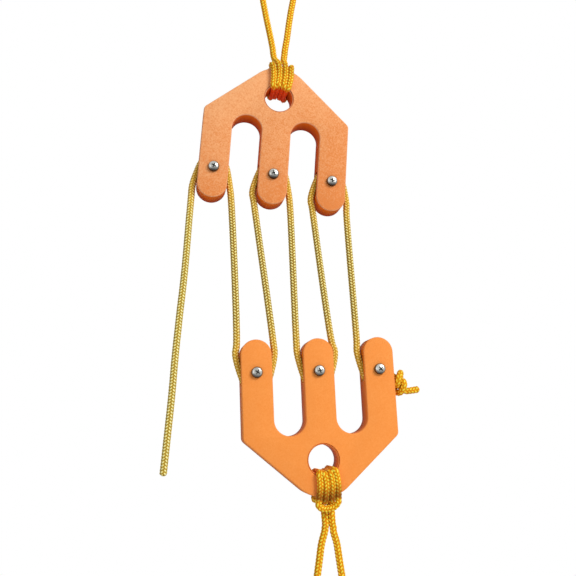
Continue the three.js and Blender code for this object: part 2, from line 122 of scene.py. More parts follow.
def leaning(point, eye, lean):
    x, y, z = point
    return Vector((x * cos(lean) + z * sin(lean), y, z * cos(lean) - x * sin(lean))) + eye


def at_axle(block, leg, point):
    x, y, z = point
    return leaning((x + leg * PITCH, y, z - EYE_ABOVE_AXLE), block["eye"], block["lean"])


for block in BLOCKS:
    print(block["name"], "middle axle at", [round(v / MM, 1) for v in at_axle(block, 0, (0, 0, 0))])

# %% [markdown]
# ## The cord's route
# One cord runs through the whole tackle, so its middle line is drawn once, from the bare hauling
# end over every sheave to the stopper knot. It is cut into pieces afterwards, where the solid model
# has its joints, so the braid runs on from piece to piece. Turns and knot come from formulas, and the
# slack hauling line from listed points.

# %% Points of the hauling line, the turns and the knot
hauling_points = [
    (-46.7, -232), (-46.3, -227), (-45.7, -219), (-45.1, -211), (-44.5, -203), (-44, -195),
    (-43.6, -187), (-43.1, -179), (-42.5, -171), (-41.9, -163), (-41.2, -155), (-40.6, -147),
    (-40.1, -139), (-39.7, -131), (-39.3, -123), (-38.9, -116),
]
upper_spreads = ((1.8, 2.6), (0.7, 2.5), (0.7, 2))
lower_spreads = ((0, 1.6), (0.55, 1.9), (1.45, 1.15))


def turn_points(spreads):
    """The cord's way over one sheave. Without a spread it comes from the knot on the left."""
    left, right = ([(LEG_HALF + spread * MM, -13 * MM), (HUG, -8 * MM)] for spread in spreads)
    enter = leave = radians(20)
    if spreads[0] == 0:
        enter, lead = radians(50), 1.3 * MM
        left = [(
            TURN_RADIUS * cos(enter) + lead * sin(enter), TURN_RADIUS * sin(enter) - lead * cos(enter),
        )]
    points = [(-across, 0, up) for across, up in left]
    for i in range(9):
        angle = pi - enter + (leave - (pi - enter)) * i / 8
        points.append((TURN_RADIUS * cos(angle), 0, TURN_RADIUS * sin(angle)))
    return points + [(across, 0, up) for across, up in reversed(right)]


def knot_points():
    """An overhand knot is a three-lobed curve, cut open, with a lead and a tail."""
    ring, lobe, steps = 3.15 * MM, 1.52 * MM, 44
    centre = LEG_HALF + lobe + 1.48 * MM
    opening = radians(120)
    lead = [(-5.3, 0, 3.7), (-6.3, 0, 3.1), (-7.3, 0.1, 2.9)]
    tail = [(-12.6, 0.3, 9.6), (-15, 0.1, 9.6), (-19.2, 0, 9.1)]
    lead, tail = ([(x * MM, y * MM, z * MM) for x, y, z in part] for part in (lead, tail))
    points = []
    for i in range(steps + 1):
        around_lobe = opening + (6 * pi - 2 * opening) * i / steps
        around_ring = 2 * around_lobe / 3 + radians(100)
        radius = ring + lobe * cos(around_lobe)
        across, up = radius * sin(around_ring), 5.9 * MM + radius * cos(around_ring)
        points.append((lobe * sin(around_lobe) - centre, across, up))
    return lead + points + tail


# %% [markdown]
# A list of points becomes a smooth line in two steps. First a curve passes through them, of the kind
# that doesn't overshoot where they lie unevenly (a centripetal Catmull-Rom curve). Then it is cut
# into equal short steps, because the braid needs rings at an even spacing.

# %% Smooth lines
RING_STEP = 0.21 * MM


def smooth_line(points, per_span=24):
    p = np.array([tuple(q) for q in points], float)
    p = np.vstack([2 * p[0] - p[1], p, 2 * p[-1] - p[-2]])
    line, marks = [], []
    for i in range(1, len(p) - 2):
        a, b, c, d = p[i - 1:i + 3]
        t = [0.0]
        for u, v in ((a, b), (b, c), (c, d)):
            t.append(t[-1] + max(np.linalg.norm(v - u), 1e-9) ** 0.5)

        def blended(start, end, m, n):
            return (start * (t[n] - s) + end * (s - t[m])) / (t[n] - t[m])

        marks.append(len(line))
        for k in range(per_span):
            s = t[1] + (t[2] - t[1]) * k / per_span
            e, f, g = blended(a, b, 0, 1), blended(b, c, 1, 2), blended(c, d, 2, 3)
            line.append(blended(blended(e, f, 0, 2), blended(f, g, 1, 3), 1, 2))
    marks.append(len(line))
    line.append(p[-2])
    return np.array(line), marks


def lengths_along(line):
    return np.concatenate([[0], np.cumsum(np.linalg.norm(np.diff(line, axis=0), axis=1))])


def frames_along(line):
    """A direction across the line at each of its points, carried along without twisting."""
    ahead_at = np.gradient(line, axis=0)
    ahead_at /= np.linalg.norm(ahead_at, axis=1)[:, None]
    across = np.zeros_like(line)
    first = np.array([0.0, 1.0, 0.0])
    first -= ahead_at[0] * first.dot(ahead_at[0])
    across[0] = first / np.linalg.norm(first)
    for i in range(1, len(line)):
        v = across[i - 1] - ahead_at[i] * across[i - 1].dot(ahead_at[i])
        across[i] = v / np.linalg.norm(v)
    return ahead_at, across


# %% The whole cord as one line
route = [(x * MM, 0, z * MM) for x, z in hauling_points]
cuts = {"hauling_line": [0]}
# The upper and the lower leg of each round, in the order that the cord meets them
for upper_leg, lower_leg in ((-1, 1), (0, 0), (1, -1)):
    for block, leg, spreads in ((UPPER, upper_leg, upper_spreads), (LOWER, lower_leg, lower_spreads)):
        points = [at_axle(block, leg, p) for p in turn_points(spreads[leg + 1])]
        if block is LOWER:
            points.reverse()
        name = f"{block['name']}_cord_turn_{2 + leg * block['order']}"
        cuts[name] = [len(route), len(route) + len(points) - 1]
        route += points
cuts["hauling_line"].append(cuts["upper_cord_turn_1"][0])
turn_names = [name for name in cuts if "turn" in name]
for i in range(5):
    cuts[f"cord_fall_{i + 1}"] = [cuts[turn_names[i]][1], cuts[turn_names[i + 1]][0]]
cuts["stopper_knot"] = [len(route) - 1, len(route) - 1 + len(knot_points())]
route += [at_axle(LOWER, -1, p) for p in knot_points()]

cord_line, cord_marks = smooth_line(route)
cord_length = lengths_along(cord_line)
print("whole cord:", round(cord_length[-1], 3), "m from the bare end to the knot's tail")

# %% [markdown]
# ## The slings
# A sling passes twice round the bar beside the eye on each side, with its middle lying across the
# turns as a bridge. The knot is the same in both blocks, but the upper one shows its strands in front
# and the lower one its bridge. Outside the photograph the sling closes in a loop. The route is drawn
# from the loop's far end down one strand, through the hitch, and back.

# %% Points of the slings
upper_strand = [
    (2.8, 0, 25.6), (2.4, 0.2, 22.8), (2.1, 1, 20.9), (1.8, 3.2, 19), (1.6, 5.3, 17.2),
    (1.45, 6.1, 15.2),
]
lower_strand = [
    (1.8, 0, 28.1), (1.5, 0, 26.4), (1.5, 0.1, 23.2), (1.55, 1.2, 21), (1.8, 3.4, 19.1),
    (1.5, 5.3, 17.2), (1.3, 6.1, 15.2),
]
upper_bridge = [(4.5, -6.1, 16.2), (4.3, -6, 17.8), (2.8, -5.3, 19.35), (0, -4.8, 19.9)]
lower_bridge = [(4.1, -6.1, 15.6), (4.2, -6, 17.4), (2.7, -5.4, 19), (0, -5, 19.5)]
BEARING_CLEAR = 1.45 * MM
EYE_CLEAR = 1.18 * MM
# The outer turns lie this many times as far round as the inner ones
OUTER_TURN = 2.8


def edge_turn(radius, outward, face, angle_from, angle_to):
    """The cord's way over one edge of the bar and back over the other, at a distance from the eye."""
    clear = BEARING_CLEAR if outward > 0 else EYE_CLEAR
    points = []
    for side, angle, steps in ((face, angle_from, (0, 1, 2, 3)), (-face, angle_to, (3, 2, 1, 0))):
        for corner in (step / 3 * pi / 2 for step in steps):
            reach = radius + outward * clear * sin(corner)
            depth = side * (HALF_THICK + BEARING_CLEAR * cos(corner))
            points.append(Vector((reach * sin(angle), depth, reach * cos(angle))))
    return points


def half_hitch(strand, bridge, face, eye_spacing, bar_spacing):
    inner_angle = asin(eye_spacing / 2 * MM / EYE_RADIUS)
    outer_angle = asin(bar_spacing / 2 * MM / APEX_RADIUS)

    def set_out(points):
        return [Vector((x * MM, face * y * MM, z * MM)) for x, y, z in points]

    stretches = [
        set_out(strand),
        edge_turn(EYE_RADIUS, -1, face, inner_angle, inner_angle),
        edge_turn(APEX_RADIUS, 1, -face, outer_angle, OUTER_TURN * outer_angle),
        edge_turn(EYE_RADIUS, -1, face, OUTER_TURN * inner_angle, OUTER_TURN * inner_angle),
        set_out(bridge),
    ]
    points = stretches[0]
    for following in stretches[1:]:
        points += [points[-1].lerp(following[0], share) for share in (0.12, 0.5, 0.88)] + following
    return points


def half_loop(strand, knees, reach, radius):
    centre = reach + 1.5 - radius
    corners = [(strand[0][0], strand[0][2] + 0.6)] + knees
    last_x, last_z = corners[-1]
    lean = atan2(centre - last_z, last_x)
    tangent = acos(radius / hypot(last_x, centre - last_z)) - lean
    arc = [tangent + (pi / 2 - tangent) * i / 5 for i in range(6)]
    corners.append((radius * cos(arc[0]), centre + radius * sin(arc[0])))
    points = []
    for (ax, az), (bx, bz) in zip(corners, corners[1:]):
        steps = ceil(hypot(bx - ax, bz - az) / 7.5)
        points += [(ax + (bx - ax) * i / steps, az + (bz - az) * i / steps) for i in range(steps)]
    points += [(radius * cos(a), centre + radius * sin(a)) for a in arc]
    return [Vector((x * MM, 0, z * MM)) for x, z in points]


def mirrored(points):
    return [Vector((-p.x, p.y, p.z)) for p in reversed(points)]


def swayed(point, eye, sways):
    """A hitch doesn't set quite straight. It sways to the right about the eye, by so many degrees at
    some distance from it, either all round (0) or only at the front (-1) or the back (1)."""
    x, z = point.x - eye.x, point.z - eye.z
    turn = 0
    for middle, degrees, spread, side in sways:
        weight = min(max(0.5 + side * point.y / (4 * MM), 0), 1) if side else 1
        off_middle = (hypot(x, z) / MM - middle) / spread
        turn += radians(degrees) * weight * exp(-(off_middle ** 2))
    return leaning((x, point.y, z), eye, turn * copysign(1, z))


def sling_route(
    strand, bridge, knees, face, spacings, reach, radius, eye, hitch_lean, loop_lean, sways,
):
    hitch = half_hitch(strand, bridge, face, *spacings)
    down = half_loop(strand, knees, reach, radius)[::-1]
    foot = eye + Vector((strand[0][2] * MM * sin(hitch_lean), 0, 0))
    route = [leaning(p, foot, loop_lean) for p in down]
    route += [leaning(p, eye, hitch_lean) for p in hitch + mirrored(hitch[:-1])]
    route += [leaning(p, foot, loop_lean) for p in mirrored(down)]
    return [swayed(p, eye, sways) for p in route]


sling_lines = {
    "upper": sling_route(
        upper_strand, upper_bridge, knees=[], face=-1, spacings=(2.7, 3.05), reach=63.2, radius=7.8,
        eye=UPPER["eye"], hitch_lean=0, loop_lean=0, sways=[(9, 8, 8.5, 0), (27, 1.2, 12, 0)],
    ),
    "lower": sling_route(
        lower_strand, lower_bridge, knees=[(3.3, 34.1)], face=1, spacings=(2.65, 2.65), reach=55.2,
        radius=5.8, eye=LOWER["eye"], hitch_lean=radians(173.9), loop_lean=pi,
        sways=[(7.5, 7, 5.5, 0), (20.5, -3, 3.5, -1), (22.5, 3, 3.5, 1)],
    ),
}
for name, points in sling_lines.items():
    sling_lines[name] = smooth_line(points)[0]
    print(name, "sling:", round(lengths_along(sling_lines[name])[-1], 3), "m of cord")

# %% [markdown]
# ## Braid
# A braided cord is two families of yarns that wind opposite ways. Each yarn passes over two of the
# others and then under two, so its skin shows short slanted beads in columns. A bump alone would
# leave a smooth outline, so the beads are real: the points of each ring of the tube rise and sink
# with the yarns. The UV map keeps the same lattice (once round the cord across, one lay of the yarns
# along), so that the material can colour the gaps and draw the fibres in place.

# %% Braided tube
CORD_RADIUS = 1.58 * MM
LAY = 7.8 * MM
STRETCHED_LAY = 8.6 * MM
YARNS = 6
SIDES = 48
BEAD_RELIEF = 0.32 * MM


def bead_height(u, v):
    p, q = YARNS * (u + v), YARNS * (u - v)
    i, j = np.floor(p), np.floor(q)
    first_on_top = np.mod(i + j, 4) < 2
    across = np.where(first_on_top, q - j, p - i)
    along = np.where(first_on_top, np.mod(p + j, 4), np.mod(q + i, 4) - 2) / 2
    return np.sqrt(np.clip(1 - (2 * across - 1) ** 2, 0, 1)) * (1 - np.abs(2 * along - 1) ** 2.5)


def braided_tube(name, centres, ahead_at, across_at, radii, lays):
    count = len(centres)
    u = np.arange(SIDES + 1) / SIDES
    # A groove between two columns of beads faces the front
    angle = 2 * pi * (u[:-1] - 0.25 / YARNS)
    out_at = np.cross(ahead_at, across_at)
    height = bead_height(u[None, :-1], lays[:, None])
    reach = radii[:, None] - BEAD_RELIEF * (1 - height)
    sideways = np.cos(angle)[None, :, None] * across_at[:, None, :]
    outwards = np.sin(angle)[None, :, None] * out_at[:, None, :]
    rings = centres[:, None, :] + reach[:, :, None] * (sideways + outwards)
    points = np.vstack([rings.reshape(-1, 3), centres[:1], centres[-1:]])
    i = np.arange(count - 1)[:, None] * SIDES
    j = np.arange(SIDES)[None, :]
    k = (j + 1) % SIDES
    walls = np.stack([i + j, i + k, i + SIDES + k, i + SIDES + j], axis=-1).reshape(-1, 4)
    last = (count - 1) * SIDES
    ends = [(count * SIDES, (n + 1) % SIDES, n) for n in range(SIDES)]
    ends += [(count * SIDES + 1, last + n, last + (n + 1) % SIDES) for n in range(SIDES)]
    data = bpy.data.meshes.new(name)
    data.from_pydata(points.tolist(), [], walls.tolist() + ends)
    ring = np.repeat(np.arange(count - 1), SIDES)
    side = np.tile(np.arange(SIDES), count - 1)
    corners = ((0, ring), (1, ring), (1, ring + 1), (0, ring + 1))
    wall_uv = np.stack([np.stack([u[side + step], lays[at]], -1) for step, at in corners], axis=1)
    uv = np.vstack([wall_uv.reshape(-1, 2), np.zeros((2 * SIDES * 3, 2))])
    data.uv_layers.new(name="yarns").data.foreach_set("uv", uv.astype(np.float32).ravel())
    data.validate()
    piece = linked(name, data)
    data.polygons.foreach_set("use_smooth", [True] * len(data.polygons))
    if sum(f.area * f.normal.dot(Vector(centres[0]) - f.center) for f in data.polygons[:SIDES]) > 0:
        data.flip_normals()
    return piece


def store(piece, name, amounts, domain="FACE"):
    """Keeps a number for each face or corner of a piece, for its finish to read."""
    piece.data.attributes.new(name, "FLOAT", domain).data.foreach_set("value", amounts)


def store_along(piece, name, amounts):
    """Keeps one number for each ring of a tube, and none at the middles of its two ends."""
    store(piece, name, np.concatenate([np.repeat(amounts, SIDES), [0, 0]]).astype(np.float32), "POINT")


def even_steps(line, along, start, end):
    count = max(8, round((end - start) / RING_STEP)) + 1
    at = np.linspace(start, end, count)
    return at, np.stack([np.interp(at, along, line[:, axis]) for axis in range(3)], axis=-1)


def ramp(distance, width):
    """0 up to no distance, 1 from the whole width on, and even in between."""
    return np.clip(distance / width, 0, 1)


# %% Directions along the whole cord
cord_at, cord_even = even_steps(cord_line, cord_length, 0, cord_length[-1])
cord_ahead, cord_across = frames_along(cord_even)
axles = np.array([at_axle(block, leg, (0, 0, 0)) for block in BLOCKS for leg in LEGS])


def mark_length(point_number):
    return cord_length[cord_marks[point_number]]


# A knot is pulled tight, so its cord is thinner there than in a free run, and full again towards the
# tail. A cut end is melted to a small round bead so that the yarns don't fray.
knot_start = mark_length(cuts["stopper_knot"][0])
TIGHTER = 0.14 * MM
TIGHTENS_OVER = 3 * MM
TAIL = 8 * MM
SEAL = 1.1 * MM
# The cord is painted more golden within this distance of an axle, and fully so this much nearer:
# this is painted light, bounced from the plastic
NEAR_AXLE, GROWS_OVER = 26 * MM, 16 * MM


def sealed(distance):
    """Share of the cord's radius at a distance from its cut end."""
    return np.sqrt(np.clip(1 - (1 - ramp(distance, SEAL)) ** 2, 0.16, 1))


def cord_piece(name):
    start, end = (mark_length(n) for n in cuts[name])
    first = int(np.searchsorted(cord_at, start - 1e-9))
    last = int(np.searchsorted(cord_at, end - 1e-9))
    part = slice(first, last + 1)
    at, even = cord_at[part], cord_even[part]
    tight = ramp(at - knot_start, TIGHTENS_OVER) * ramp(cord_at[-1] - at, TAIL)
    radii = (CORD_RADIUS - TIGHTER * tight) * sealed(np.minimum(at, cord_at[-1] - at))
    lays = np.minimum(at, knot_start) / LAY + np.maximum(at - knot_start, 0) / STRETCHED_LAY
    piece = braided_tube(name, even, cord_ahead[part], cord_across[part], radii, lays)
    from_axle = np.linalg.norm(even[:, None] - axles, axis=2).min(axis=1)
    # Painted light: the cord is tinted more golden near the axles, for light bounced from the plastic
    store_along(piece, "painted_bounce_tint", ramp(NEAR_AXLE - from_axle, GROWS_OVER))
    return piece, part


# %% The cord's pieces
cord_pieces, cord_parts = {}, {}
for name in cuts:
    cord_pieces[name], cord_parts[name] = cord_piece(name)
    print(name, len(cord_pieces[name].data.polygons), "faces")

# %% Sling pieces
sling_pieces = {}
for block in BLOCKS:
    label = block["name"]
    along = lengths_along(sling_lines[label])
    at, even = even_steps(sling_lines[label], along, 0, along[-1])
    # The cord is drawn thinner where it bears on the block, and most of all inside the eye
    from_eye = np.linalg.norm((even - np.array(block["eye"]))[:, [0, 2]], axis=1)
    bearing = ramp(21.5 * MM - from_eye, 3 * MM)
    in_eye = ramp(HALF_THICK + 1.3 * MM - np.abs(even[:, 1]), 1.3 * MM) * (from_eye < 9 * MM)
    over_bar = ramp(from_eye - 10 * MM, 5 * MM) * ramp(16.8 * MM - from_eye, MM)
    radii = CORD_RADIUS - 0.15 * MM * bearing - 0.25 * MM * in_eye
    sling = braided_tube(f"{label}_sling", even, *frames_along(even), radii, at / STRETCHED_LAY)
    # Painted light: the cord in the eye is tinted red orange for light bounced from the walls, and the
    # lower sling also a little over the bar
    store_along(sling, "painted_bounce_tint", in_eye if block is UPPER else 0.4 * in_eye + 0.2 * over_bar)
    # Painted shade: the cord is darkened over the bar, most in the lower sling
    store_along(sling, "painted_shade", over_bar if block is LOWER else 0.3 * over_bar)
    sling_pieces[label] = sling
    print(label, "sling:", len(sling.data.polygons), "faces")

# %% [markdown]
# ## Bodies of the cord
# A turn stays with its block, and so does the stopper knot, and each sling rides on its own body.
# The falls and the hauling line ride on no body: they are fixed where they hang. The solid model's
# pieces that the cord's pieces stand for are hidden.

# %% Cord rides
def stand_for(piece, nodes, body):
    """The piece replaces these nodes and moves with one body."""
    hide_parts(*nodes)
    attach(piece, body)


for number in (1, 2, 3):
    for block in BLOCKS:
        name = f"{block['name']}_cord_turn_{number}"
        stand_for(cord_pieces[name], [name], f"{block['name']}_block")
stand_for(cord_pieces["stopper_knot"], ["stopper_knot"], "lower_block")
for number in range(1, 6):
    name = f"cord_fall_{number}"
    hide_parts(name)
    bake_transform(cord_pieces[name])
hauling = cord_pieces["hauling_line"]
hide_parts("hauling_line", "hauling_end")
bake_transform(hauling)
for label, sling in sling_pieces.items():
    stand_for(sling, [f"{label}_sling_hitch", f"{label}_sling_loop"], f"{label}_sling")

# %% [markdown]
# ## Shared effects
# Two effects are wanted in more than one finish, so each is a node group with named values: a fine
# grain for plastic and metal, and the lattice of the braid. A group gives out only masks and heights.
# The shader itself stays in each material.

# %% Node helpers
def set_sockets(tree, node, sockets):
    """Gives each socket, by name or number, a value or a link from another node's output."""
    for key, value in sockets.items():
        if isinstance(value, (int, float, tuple)):
            node.inputs[key].default_value = value
        else:
            tree.links.new(value, node.inputs[key])


def add_node(tree, kind, settings, sockets):
    node = tree.nodes.new("ShaderNode" + kind)
    for key, value in settings.items():
        setattr(node, key, value)
    set_sockets(tree, node, sockets)
    return node


def new_group(name, inputs, outputs):
    group = bpy.data.node_groups.new(name, "ShaderNodeTree")
    for label, value in inputs.items():
        socket = group.interface.new_socket(label, in_out="INPUT", socket_type="NodeSocketFloat")
        socket.default_value = value
    for label in outputs:
        group.interface.new_socket(label, in_out="OUTPUT", socket_type="NodeSocketFloat")
    return group, group.nodes.new("NodeGroupInput").outputs, group.nodes.new("NodeGroupOutput")


def maths(tree, operation, *values):
    return add_node(tree, "Math", {"operation": operation}, dict(enumerate(values))).outputs[0]


def pick(tree, factor, low, high):
    return add_node(tree, "Mix", {"data_type": "FLOAT"}, {0: factor, 2: low, 3: high}).outputs[0]


def mixed_colour(tree, factor, low, high, blend="MIX"):
    settings = {"data_type": "RGBA", "blend_type": blend}
    return add_node(tree, "Mix", settings, {0: factor, 6: low, 7: high}).outputs[2]


def colour(red, green, blue):
    """A colour as seen on screen, from 0 to 255, made linear for the shader."""
    def linear(value):
        value /= 255
        return value / 12.92 if value <= 0.04045 else ((value + 0.055) / 1.055) ** 2.4
    return (linear(red), linear(green), linear(blue), 1)


def noise(tree, vector, scale, detail, roughness):
    sockets = {"Vector": vector, "Scale": scale, "Detail": detail, "Roughness": roughness}
    return add_node(tree, "TexNoise", {}, sockets).outputs["Fac"]


def bumped(tree, height, strength, distance):
    sockets = {"Height": height, "Strength": strength, "Distance": distance}
    return add_node(tree, "Bump", {}, sockets).outputs["Normal"]


def coordinates(tree, kind):
    return tree.nodes.new("ShaderNodeTexCoord").outputs[kind]


def parts_of(tree, vector):
    return add_node(tree, "SeparateXYZ", {}, {0: vector}).outputs


# %% Grain group
grain, grain_in, grain_out = new_group(
    "surface_grain", {"Grains per metre": 1500.0, "Patches per metre": 90.0, "Patchiness": 0.4},
    ("Grain", "Patches", "Height"),
)
place = coordinates(grain, "Object")
fine = noise(grain, place, grain_in["Grains per metre"], 3.0, 0.65)
broad = noise(grain, place, grain_in["Patches per metre"], 3.0, 0.55)
both = pick(grain, grain_in["Patchiness"], fine, broad)
set_sockets(grain, grain_out, {"Grain": fine, "Patches": broad, "Height": both})
print("group:", grain.name)

# %% Braid group
braid, braid_in, braid_out = new_group(
    "braid_lattice", {"Yarns": float(YARNS), "Fibres": 5.0}, ("Height", "Fibre", "Yarn"),
)


def of_braid(operation, *values):
    return maths(braid, operation, *values)


def dome(place_in_cell, power):
    from_middle = of_braid("ABSOLUTE", of_braid("MULTIPLY_ADD", place_in_cell, 2.0, -1.0))
    return of_braid("SUBTRACT", 1.0, of_braid("POWER", from_middle, power))


round_cord, along_cord = parts_of(braid, coordinates(braid, "UV"))[:2]
one_way = of_braid("MULTIPLY", braid_in["Yarns"], of_braid("ADD", round_cord, along_cord))
other_way = of_braid("MULTIPLY", braid_in["Yarns"], of_braid("SUBTRACT", round_cord, along_cord))
one_cell, other_cell = of_braid("FLOOR", one_way), of_braid("FLOOR", other_way)
cell_pair = of_braid("FLOORED_MODULO", of_braid("ADD", one_cell, other_cell), 4.0)
below = of_braid("GREATER_THAN", cell_pair, 1.5)
one_place = of_braid("SUBTRACT", one_way, one_cell)
other_place = of_braid("SUBTRACT", other_way, other_cell)
across_yarn = pick(braid, below, other_place, one_place)
one_float = of_braid("FLOORED_MODULO", of_braid("ADD", one_way, other_cell), 4.0)
other_float = of_braid("FLOORED_MODULO", of_braid("ADD", other_way, one_cell), 4.0)
float_length = pick(braid, below, one_float, of_braid("SUBTRACT", other_float, 2.0))
along_yarn = of_braid("MULTIPLY", 0.5, float_length)
fibre_turns = of_braid("MULTIPLY", of_braid("MULTIPLY", across_yarn, braid_in["Fibres"]), 2 * pi)
# Any two numbers that share no simple ratio give each yarn a shade of its own
yarn_shade = of_braid("MULTIPLY", pick(braid, below, other_cell, one_cell), 0.618)
yarn_number = of_braid("ADD", yarn_shade, of_braid("MULTIPLY", below, 0.271))
set_sockets(braid, braid_out, {
    "Height": of_braid("MULTIPLY", of_braid("SQRT", dome(across_yarn, 2.0)), dome(along_yarn, 2.5)),
    "Fibre": of_braid("MULTIPLY_ADD", of_braid("SINE", fibre_turns), 0.5, 0.5),
    "Yarn": of_braid("FRACT", yarn_number),
})
print("group:", braid.name)

# %% [markdown]
# ## Cord finish
# The cord is a bright golden synthetic yarn. The tops of the beads are painted paler, a painted
# highlight, and the gaps between them a dark olive brown, a painted shade. Each bead differs a little
# from the next, and fine fibres run along it. The hauling line is given the palest colours. In the
# hitches and the knot the cord is stretched, and it has its own three colours there, a deeper gold
# that is partly painted light, bounced from the orange plastic. Two values stored in the mesh tint it:
# one is painted bounced light, red orange in the eye and more golden near the axles, and the other is
# painted shade, which darkens it over the bar.

# %% Cord materials
def new_material(name):
    material = bpy.data.materials.new(name)
    material.use_nodes = True
    return material, material.node_tree, material.node_tree.nodes["Principled BSDF"]


def stored(tree, name):
    return add_node(tree, "Attribute", {"attribute_name": name}, {}).outputs["Fac"]


def between(tree, value, low, high):
    """0 below the low value, 1 above the high one, and even in between."""
    sockets = {"Value": value, "From Min": low, "From Max": high}
    return add_node(tree, "MapRange", {}, sockets).outputs["Result"]


def cord_finish(name, gap, middle, top, gloss, bounce_colour, bounce_share):
    material, tree, shader = new_material(name)
    lattice = add_node(tree, "Group", {"node_tree": braid}, {}).outputs
    height, fibre = lattice["Height"], lattice["Fibre"]
    # Painted shade in the gaps between beads and a painted highlight on their tops
    base = mixed_colour(tree, between(tree, height, 0.45, 0.78), colour(*gap), colour(*middle))
    base = mixed_colour(tree, between(tree, height, 0.78, 0.96), base, colour(*top))
    # Painted light: a tint for the light bounced from the orange plastic
    painted_bounce_tint = maths(tree, "MULTIPLY", stored(tree, "painted_bounce_tint"), bounce_share)
    base = mixed_colour(tree, painted_bounce_tint, base, colour(*bounce_colour))
    # Painted shade: a dark orange brown where the cord passes over the bar
    painted_shade = maths(tree, "MULTIPLY", stored(tree, "painted_shade"), 0.75)
    base = mixed_colour(tree, painted_shade, base, colour(112, 50, 4))
    varied = maths(tree, "MULTIPLY_ADD", lattice["Yarn"], 0.16, 0.9)
    thread = maths(tree, "MULTIPLY_ADD", fibre, 0.12, 0.92)
    shade = maths(tree, "MULTIPLY", varied, thread)
    tint = add_node(tree, "CombineColor", {}, {0: shade, 1: shade, 2: shade}).outputs[0]
    fuzz = maths(tree, "MULTIPLY_ADD", fibre, 0.35, height)
    set_sockets(tree, shader, {
        "Base Color": mixed_colour(tree, 1.0, base, tint, "MULTIPLY"),
        "Roughness": maths(tree, "MULTIPLY_ADD", height, -0.2, 0.75),
        "Normal": bumped(tree, fuzz, 0.35, 0.00012),
        "Specular IOR Level": gloss, "Sheen Weight": gloss / 2, "Sheen Roughness": 0.4,
    })
    return material


FREE = ((144, 110, 26), (255, 218, 84), (255, 253, 184))
PALEST = ((170, 136, 38), (255, 226, 94), (255, 254, 190))
# Partly painted light: the deeper orange gold of the hitches and the knot stands for light bounced
# from the plastic
DEEP_GOLD_BOUNCE_LIT = ((232, 142, 4), (255, 200, 12), (255, 243, 90))
# The colours of the painted bounced light
GOLD, RED_ORANGE = (255, 196, 36), (255, 84, 0)
free_cord = cord_finish("free_cord", *FREE, gloss=0.4, bounce_colour=GOLD, bounce_share=0.5)
hauling_cord = cord_finish("hauling_cord", *PALEST, gloss=0.4, bounce_colour=GOLD, bounce_share=0.5)
knot_cord = cord_finish("knot_cord", *DEEP_GOLD_BOUNCE_LIT, gloss=0.15, bounce_colour=GOLD, bounce_share=0.2)
hitch_cord = cord_finish("hitch_cord", *DEEP_GOLD_BOUNCE_LIT, gloss=0.15, bounce_colour=RED_ORANGE, bounce_share=1.0)
for name, piece in cord_pieces.items():
    finish = {"stopper_knot": knot_cord, "hauling_line": hauling_cord}.get(name, free_cord)
    piece.data.materials.append(finish)
for piece in sling_pieces.values():
    piece.data.materials.append(hitch_cord)
print("cord finishes:", free_cord.name, hauling_cord.name, knot_cord.name, hitch_cord.name)

# %% [markdown]
# ## Forked block
# Each block is one thick plate with three round-ended legs, a peaked top and a round eye. It starts
# as a cube that is sliced to the two slants. Round-topped cutters make the gaps between the legs with
# a Boolean modifier, and then bevels round the corners: half a leg's width makes a full round tip.

# %% Modelling helpers
def deselect_all():
    if bpy.context.mode != "OBJECT":
        bpy.ops.object.mode_set(mode="OBJECT")
    bpy.ops.object.select_all(action="DESELECT")


def only(piece):
    deselect_all()
    piece.select_set(True)
    bpy.context.view_layer.objects.active = piece


def added():
    bpy.ops.object.transform_apply(location=True, rotation=True, scale=True)
    return bpy.context.object


def add_box(low, high):
    deselect_all()
    middle = [(a + b) / 2 for a, b in zip(low, high)]
    bpy.ops.mesh.primitive_cube_add(size=1, location=middle, scale=[b - a for a, b in zip(low, high)])
    return added()


ALONG_Y = (pi / 2, 0, 0)


def add_round(radius, near_end, far_end, x=0.0, z=0.0, sides=64):
    deselect_all()
    bpy.ops.mesh.primitive_cylinder_add(
        vertices=sides, radius=radius, depth=far_end - near_end,
        location=(x, (near_end + far_end) / 2, z), rotation=ALONG_Y,
    )
    return added()


def combine(piece, *cutters, operation="DIFFERENCE"):
    """Cuts each cutter out of the piece, or adds or intersects it, and removes it."""
    for cutter in cutters:
        only(piece)
        modifier = piece.modifiers.new("combine", "BOOLEAN")
        modifier.operation = operation
        modifier.solver = "EXACT"
        modifier.object = cutter
        bpy.ops.object.modifier_apply(modifier=modifier.name)
        bpy.data.objects.remove(cutter)


def edit(piece, kind="FACE", wanted=None):
    """Enters edit mode with the wanted faces or edges selected, or with everything selected."""
    only(piece)
    bpy.ops.object.mode_set(mode="EDIT")
    bpy.ops.mesh.select_mode(type=kind)
    bpy.ops.mesh.select_all(action="DESELECT" if wanted else "SELECT")
    bm = bmesh.from_edit_mesh(piece.data)
    chosen = [part for part in (bm.edges if kind == "EDGE" else bm.faces) if wanted and wanted(part)]
    for part in chosen:
        part.select_set(True)
    bmesh.update_edit_mesh(piece.data)
    return len(chosen)


def round_edges(piece, wanted, offset, segments, merge=True):
    """Bevels the edges whose two ends are as wanted, and says how many there were."""
    count = edit(piece, "EDGE", lambda e: wanted(*[v.co for v in e.verts]))
    bpy.ops.mesh.bevel(
        offset=offset, offset_type="OFFSET", segments=segments, affect="EDGES", clamp_overlap=False,
    )
    if merge:
        bpy.ops.mesh.select_all(action="SELECT")
        bpy.ops.mesh.remove_doubles(threshold=0.03 * MM)
    bpy.ops.object.mode_set(mode="OBJECT")
    return count


def shade(piece, degrees, name):
    only(piece)
    bpy.ops.object.shade_smooth_by_angle(angle=radians(degrees))
    print(f"{name}:", len(piece.data.polygons), "faces")


def near(value, target, slack=0.05 * MM):
    return abs(value - target) < slack


def through_at(height):
    """A test for the edges that run through the plate at one height."""
    def wanted(a, b):
        straight = near(a.x, b.x) and near(a.z, b.z) and abs(a.y - b.y) > THICKNESS / 2
        return straight and near(a.z, height)
    return wanted


def on_one_face(a, b):
    return near(a.y, b.y, 0.001 * MM)


